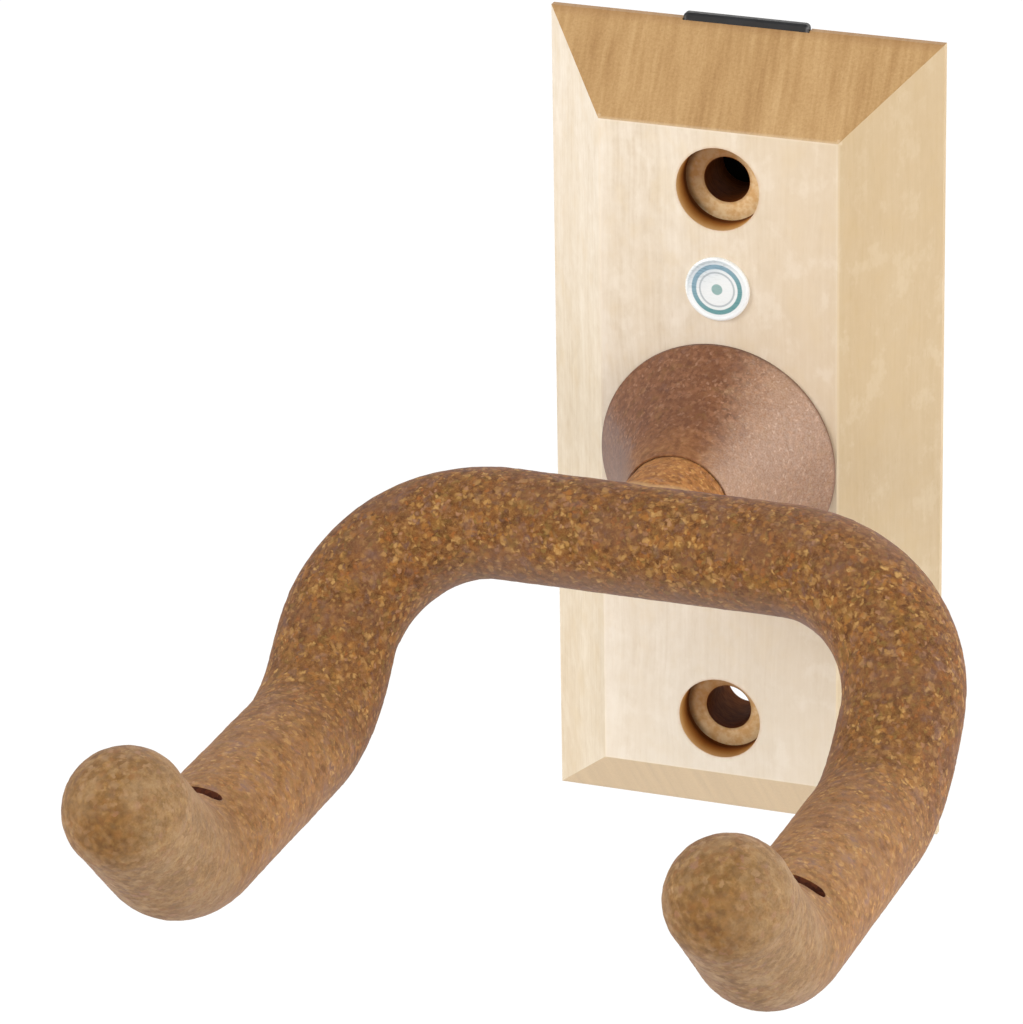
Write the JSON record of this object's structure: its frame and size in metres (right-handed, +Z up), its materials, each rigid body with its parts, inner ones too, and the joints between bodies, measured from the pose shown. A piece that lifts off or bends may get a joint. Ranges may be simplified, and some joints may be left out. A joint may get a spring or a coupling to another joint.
{
  "type": "wall guitar hanger",
  "caption": "Bevelled maple wall plate with a cork-covered U-shaped yoke on a swivel stem, which cradles an instrument's headstock between two upturned arms.",
  "frame": {"origin": "where the yoke's swivel axis meets the wall, at the middle of the wall plate's back", "axes": "+Z up, +Y into the wall, so the hanger stands out towards -Y; +X is right seen from the front"},
  "size_m": [0.0888, 0.1261, 0.1098],
  "materials": {
    "maple": "satin lacquer, pale maple with vertical grain",
    "black_steel": "black, satin",
    "zinc_steel": "bright zinc",
    "badge": "glossy, plain rings",
    "rosette_composite": "fine cork composite, slight sheen",
    "nylon": "natural nylon",
    "cork_composite": "coarse speckled cork composite, matt"
  },
  "bodies": {
    "wall_plate": {"base_plate": "maple", "back_strip": "black_steel", "strip_screws": "zinc_steel", "badge": "badge", "rosette": "rosette_composite", "front_bush": "nylon", "rear_bush": "nylon", "spring_washer": "zinc_steel"},
    "yoke": {"yoke_rod": "zinc_steel", "yoke_cover": "cork_composite", "stem": "zinc_steel", "stem_sleeve": "cork_composite", "thrust_washer": "zinc_steel", "lock_nut": "zinc_steel"}
  },
  "joints": [
    {"name": "yoke_swivel", "type": "hinge", "parent": "wall_plate", "child": "yoke", "pos_m": [0, -0.0125, 0], "axis": [0, -1, 0], "continuous": true}
  ]
}
